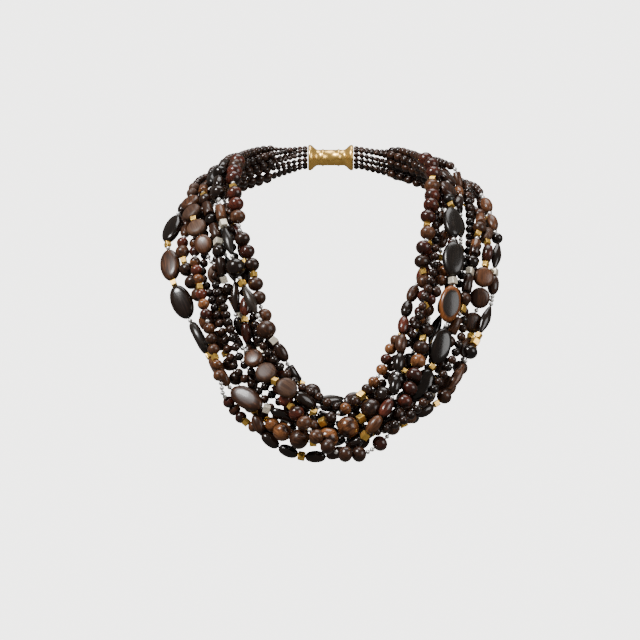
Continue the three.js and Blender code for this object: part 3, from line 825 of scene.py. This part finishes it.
def finishes():
    """Every finish of the necklace."""
    polished("ebony", (0.0052, 0.0026, 0.0017), (0.021, 0.0094, 0.0052), 0.2)
    polished("dark_wood", (0.012, 0.0046, 0.0023), (0.064, 0.0225, 0.0100), 0.28, coat=0.2)
    polished("brown_wood", (0.030, 0.0105, 0.0042), (0.150, 0.056, 0.0215), 0.34, coat=0.12)
    polished("soft_brown_wood", (0.046, 0.0195, 0.0100), (0.130, 0.063, 0.031), 0.5, coat=0.0)
    polished(
        "red_wood", (0.034, 0.0072, 0.0040), (0.150, 0.032, 0.0160), 0.24, (0.018, 0.0066, 0.0040), 0.42,
    )
    polished(
        "tan_wood", (0.085, 0.029, 0.0095), (0.33, 0.125, 0.042), 0.24, (0.024, 0.0086, 0.0042), 0.46,
    )
    polished("horn", (0.0082, 0.0058, 0.0046), (0.034, 0.0235, 0.0170), 0.28, coat=0.1)
    polished(
        "tortoise", (0.16, 0.048, 0.012), (0.34, 0.115, 0.030), 0.26, (0.020, 0.0155, 0.0130), 0.60,
        rimmed=True, coat=0.1,
    )
    plated("gold", (1.0, 0.63, 0.14), (0.84, 0.46, 0.09), 0.28)
    plated("pale_gold", (1.0, 0.93, 0.76), (0.86, 0.74, 0.52), 0.26, metal=0.5)
    plated("silver", (0.94, 0.93, 0.91), (0.66, 0.645, 0.62), 0.2, metal=0.7)
    plated("clasp_gold", (1.0, 0.63, 0.17), (0.80, 0.45, 0.11), 0.26, 0.012)
    twisted("string", (0.008, 0.006, 0.005), (0.05, 0.038, 0.03))


# Settings


class BeadSettings(bpy.types.PropertyGroup):
    sides: bpy.props.IntProperty(
        name="Sides", description="Sides of a round bead", default=22, min=12, max=32,
    )
    string: bpy.props.FloatProperty(
        name="String", description="Thickness of the beading cord", default=0.0010, unit="LENGTH",
    )
    seed: bpy.props.IntProperty(
        name="Seed", description="Which bead gets which of its string's finishes", default=11,
    )


class StudioSettings(bpy.types.PropertyGroup):
    key: bpy.props.FloatProperty(
        name="Key light", description="Power of the small light at the upper left", default=110,
        subtype="POWER",
    )
    fill: bpy.props.FloatProperty(
        name="Softbox", description="Power of the large soft light at the right", default=24,
        subtype="POWER",
    )
    room: bpy.props.FloatProperty(
        name="Room light", description="Even light from all sides", default=0.2, min=0,
    )
    glow: bpy.props.FloatProperty(
        name="Glow", description="Light that the backdrop itself gives to the camera", default=4.0, min=0,
    )
    backdrop: bpy.props.FloatVectorProperty(
        name="Backdrop", description="Colour of the floor and backdrop", subtype="COLOR",
        default=(0.9, 0.89, 0.87), min=0, max=1,
    )
    radius: bpy.props.FloatProperty(
        name="Floor radius", description="How far the floor runs before it rises", default=3.4,
        unit="LENGTH",
    )


class NecklaceSettings(bpy.types.PropertyGroup):
    beads: bpy.props.PointerProperty(type=BeadSettings)
    studio: bpy.props.PointerProperty(type=StudioSettings)


# Clasp, in millimetres: its waist as a share of its mouth, the lip and flare at each end, and
# the raised bands

WAIST, LIP, FLARE = 0.61, 1.2, 6
BAND, BAND_HEIGHT = 10, 0.5
CLASP_SIDES = 40

# Studio, in metres

FLOOR, RISE, SWEEP, TURN = -0.9, 2.4, 1, 96
KEY_PLACE, KEY_SIZE = (-1.5, -1.5, 1.9), 0.7
SOFTBOX_PLACE, SOFTBOX_SIZE = (1.75, -1.25, 0.5), 1.3
TOP_PLACE, TOP_SIZE, TOP_SHARE = (0.2, 0.3, 2.2), 1.6, 0.4
LIGHTS_AIM = (0, 0, -0.1)
ROOM_COLOUR = (1.0, 0.95, 0.88, 1)

# Operators


class NECKLACE_OT_camera(bpy.types.Operator):
    """Set the camera in front of the necklace, level with its middle"""

    bl_idname = "necklace.camera"
    bl_label = "Camera"

    def execute(self, context):
        data = bpy.data.cameras.new("front_camera")
        data.sensor_width = 36
        data.lens = 36 * EYE_DISTANCE / (CHART_SIDE * CHART_UNIT)
        data.clip_end = 60
        camera = bpy.data.objects.new("front_camera", data)
        camera.location = (
            (CHART_EYE - CHART_MIDDLE) * CHART_UNIT * MM,
            -EYE_DISTANCE * MM,
            (CHART_TOP - CHART_EYE) * CHART_UNIT * MM,
        )
        camera.rotation_euler = (math.pi / 2, 0, 0)
        context.scene.collection.objects.link(camera)
        context.scene.camera = camera
        return {"FINISHED"}


class NECKLACE_OT_strings(bpy.types.Operator):
    """Thread every string: its beads, its metal spacers and its cord"""

    bl_idname = "necklace.strings"
    bl_label = "Strings of beads"

    def execute(self, context):
        settings = context.scene.necklace.beads
        shapes = bead_shapes(settings.sides)
        for number, string in enumerate(settled_strings()):
            name = string["name"]
            chance = np.random.default_rng(settings.seed + number)
            stones, metals = bead_parts(string, shapes, chance, STRANDS[name]["tones"])
            used = sorted({part[2] for part in stones})
            beads = build_mesh(f"{name}_beads", stones, used)
            smoothed(beads)
            stand_for(beads, name)
            if metals:
                used = sorted({part[2] for part in metals})
                spacers = build_mesh(f"{name}_spacers", metals, used)
                rounds = [used[p.material_index] == "silver" for p in spacers.data.polygons]
                smoothed(spacers, rounds)
                stand_for(spacers, name)
            cord = build_mesh(
                f"{name}_cord", [string_part(string["nodes"], settings.string / MM / 2)], ["string"],
            )
            smoothed(cord)
            stand_for(cord, name)
        return {"FINISHED"}


class NECKLACE_OT_clasp(bpy.types.Operator):
    """Turn the plain clasp with its fine edges"""

    bl_idname = "necklace.clasp"
    bl_label = "Clasp"

    def execute(self, context):
        low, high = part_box("clasp")
        middle = [(a + b) / 2 / MM for a, b in zip(low, high)]
        half, mouth = (high[0] - low[0]) / 2 / MM, (high[2] - low[2]) / 2 / MM
        waist = mouth * WAIST
        rows = [(-half, 0.05), (-half, mouth - 1.0), (-half + 0.3, mouth - 0.4), (-half + LIP, mouth)]
        for t in np.linspace(0.1, 1, 8):
            swell = (mouth - waist) * 0.5 * (1 + math.cos(math.pi * t))
            rows.append((-half + LIP + FLARE * t, waist + swell))
        rows += [(-half + BAND, waist), (-half + BAND + 0.4, waist + BAND_HEIGHT)]
        rows += [(-half + BAND + 1.4, waist + BAND_HEIGHT), (-half + BAND + 1.8, waist)]
        rows += [(-x, r) for x, r in reversed(rows)]
        sides = CLASP_SIDES
        turn = [2 * math.pi * i / sides for i in range(sides)]
        local = np.array([(x, r * math.cos(a), r * math.sin(a)) for x, r in rows for a in turn])
        faces = grid_faces(len(rows), sides)
        faces.append(tuple(range(sides)))
        faces.append(tuple(reversed(range(len(local) - sides, len(local)))))
        part = (local + middle, faces, "clasp_gold", 0.4, local, 0)
        piece = build_mesh("clasp_turned", [part], ["clasp_gold"])
        smoothed(piece)
        stand_for(piece, "clasp")
        return {"FINISHED"}


class NECKLACE_OT_studio(bpy.types.Operator):
    """Set the pale seamless floor and backdrop, the soft lights and the room light"""

    bl_idname = "necklace.studio"
    bl_label = "Studio"

    def execute(self, context):
        studio = context.scene.necklace.studio
        rows = [(0.0, FLOOR), (studio.radius * 0.5, FLOOR), (studio.radius, FLOOR)]
        for i in range(1, 13):
            angle = math.pi / 2 * i / 12
            out, up = SWEEP * math.sin(angle), SWEEP - SWEEP * math.cos(angle)
            rows.append((studio.radius + out, FLOOR + up))
        rows.append((studio.radius + SWEEP, FLOOR + SWEEP + RISE))
        angles = [2 * math.pi * i / TURN for i in range(TURN)]
        points = [(0, 0, FLOOR)]
        for r, z in rows[1:]:
            points += [(r * math.cos(angle), r * math.sin(angle), z) for angle in angles]
        faces = [(0, 1 + i, 1 + (i + 1) % TURN) for i in range(TURN)]
        faces += grid_faces(len(rows) - 1, TURN, 1)
        mesh = bpy.data.meshes.new("backdrop")
        mesh.from_pydata(points, [], faces)
        mesh.polygons.foreach_set("use_smooth", [True] * len(mesh.polygons))
        backdrop = bpy.data.objects.new("backdrop", mesh)
        context.scene.collection.objects.link(backdrop)
        paper = Finish("backdrop_paper")
        paper.shader.inputs["Base Color"].default_value = (*studio.backdrop, 1)
        paper.shader.inputs["Roughness"].default_value = 0.9
        paper.shader.inputs["Emission Color"].default_value = (*studio.backdrop, 1)
        paper.shader.inputs["Emission Strength"].default_value = studio.glow
        mesh.materials.append(paper.material)
        backdrop.visible_diffuse = backdrop.visible_glossy = False
        for name, place_at, size, power in (
            ("key", KEY_PLACE, KEY_SIZE, studio.key),
            ("softbox", SOFTBOX_PLACE, SOFTBOX_SIZE, studio.fill),
            ("top", TOP_PLACE, TOP_SIZE, studio.key * TOP_SHARE),
        ):
            light = bpy.data.lights.new(name, "AREA")
            light.size = size
            light.energy = power
            lamp = bpy.data.objects.new(name, light)
            lamp.location = place_at
            aim = Vector(LIGHTS_AIM) - Vector(place_at)
            lamp.rotation_euler = aim.to_track_quat("-Z", "Y").to_euler()
            context.scene.collection.objects.link(lamp)
        world = bpy.data.worlds.new("room")
        world.use_nodes = True
        world.node_tree.nodes["Background"].inputs["Color"].default_value = ROOM_COLOUR
        world.node_tree.nodes["Background"].inputs["Strength"].default_value = studio.room
        context.scene.world = world
        return {"FINISHED"}


class NECKLACE_PT_panel(bpy.types.Panel):
    bl_label = "Necklace"
    bl_idname = "NECKLACE_PT_panel"
    bl_space_type = "VIEW_3D"
    bl_region_type = "UI"
    bl_category = "Necklace"

    def draw(self, context):
        settings = context.scene.necklace
        for label, group, steps in (
            ("Beads", settings.beads, ("necklace.strings", "necklace.clasp")),
            ("Studio", settings.studio, ("necklace.camera", "necklace.studio")),
        ):
            box = self.layout.box()
            box.label(text=label)
            for name in type(group).__annotations__:
                box.prop(group, name)
            for step in steps:
                box.operator(step)


CLASSES = (
    BeadSettings,
    StudioSettings,
    NecklaceSettings,
    NECKLACE_OT_camera,
    NECKLACE_OT_strings,
    NECKLACE_OT_clasp,
    NECKLACE_OT_studio,
    NECKLACE_PT_panel,
)


def register():
    for cls in CLASSES:
        bpy.utils.register_class(cls)
    bpy.types.Scene.necklace = bpy.props.PointerProperty(type=NecklaceSettings)


def unregister():
    del bpy.types.Scene.necklace
    for cls in reversed(CLASSES):
        bpy.utils.unregister_class(cls)


def main():
    """Builds the necklace and its studio."""
    register()
    bpy.ops.necklace.camera()
    finishes()
    bpy.ops.necklace.strings()
    bpy.ops.necklace.clasp()
    bpy.ops.necklace.studio()


if __name__ == "__main__":
    main()
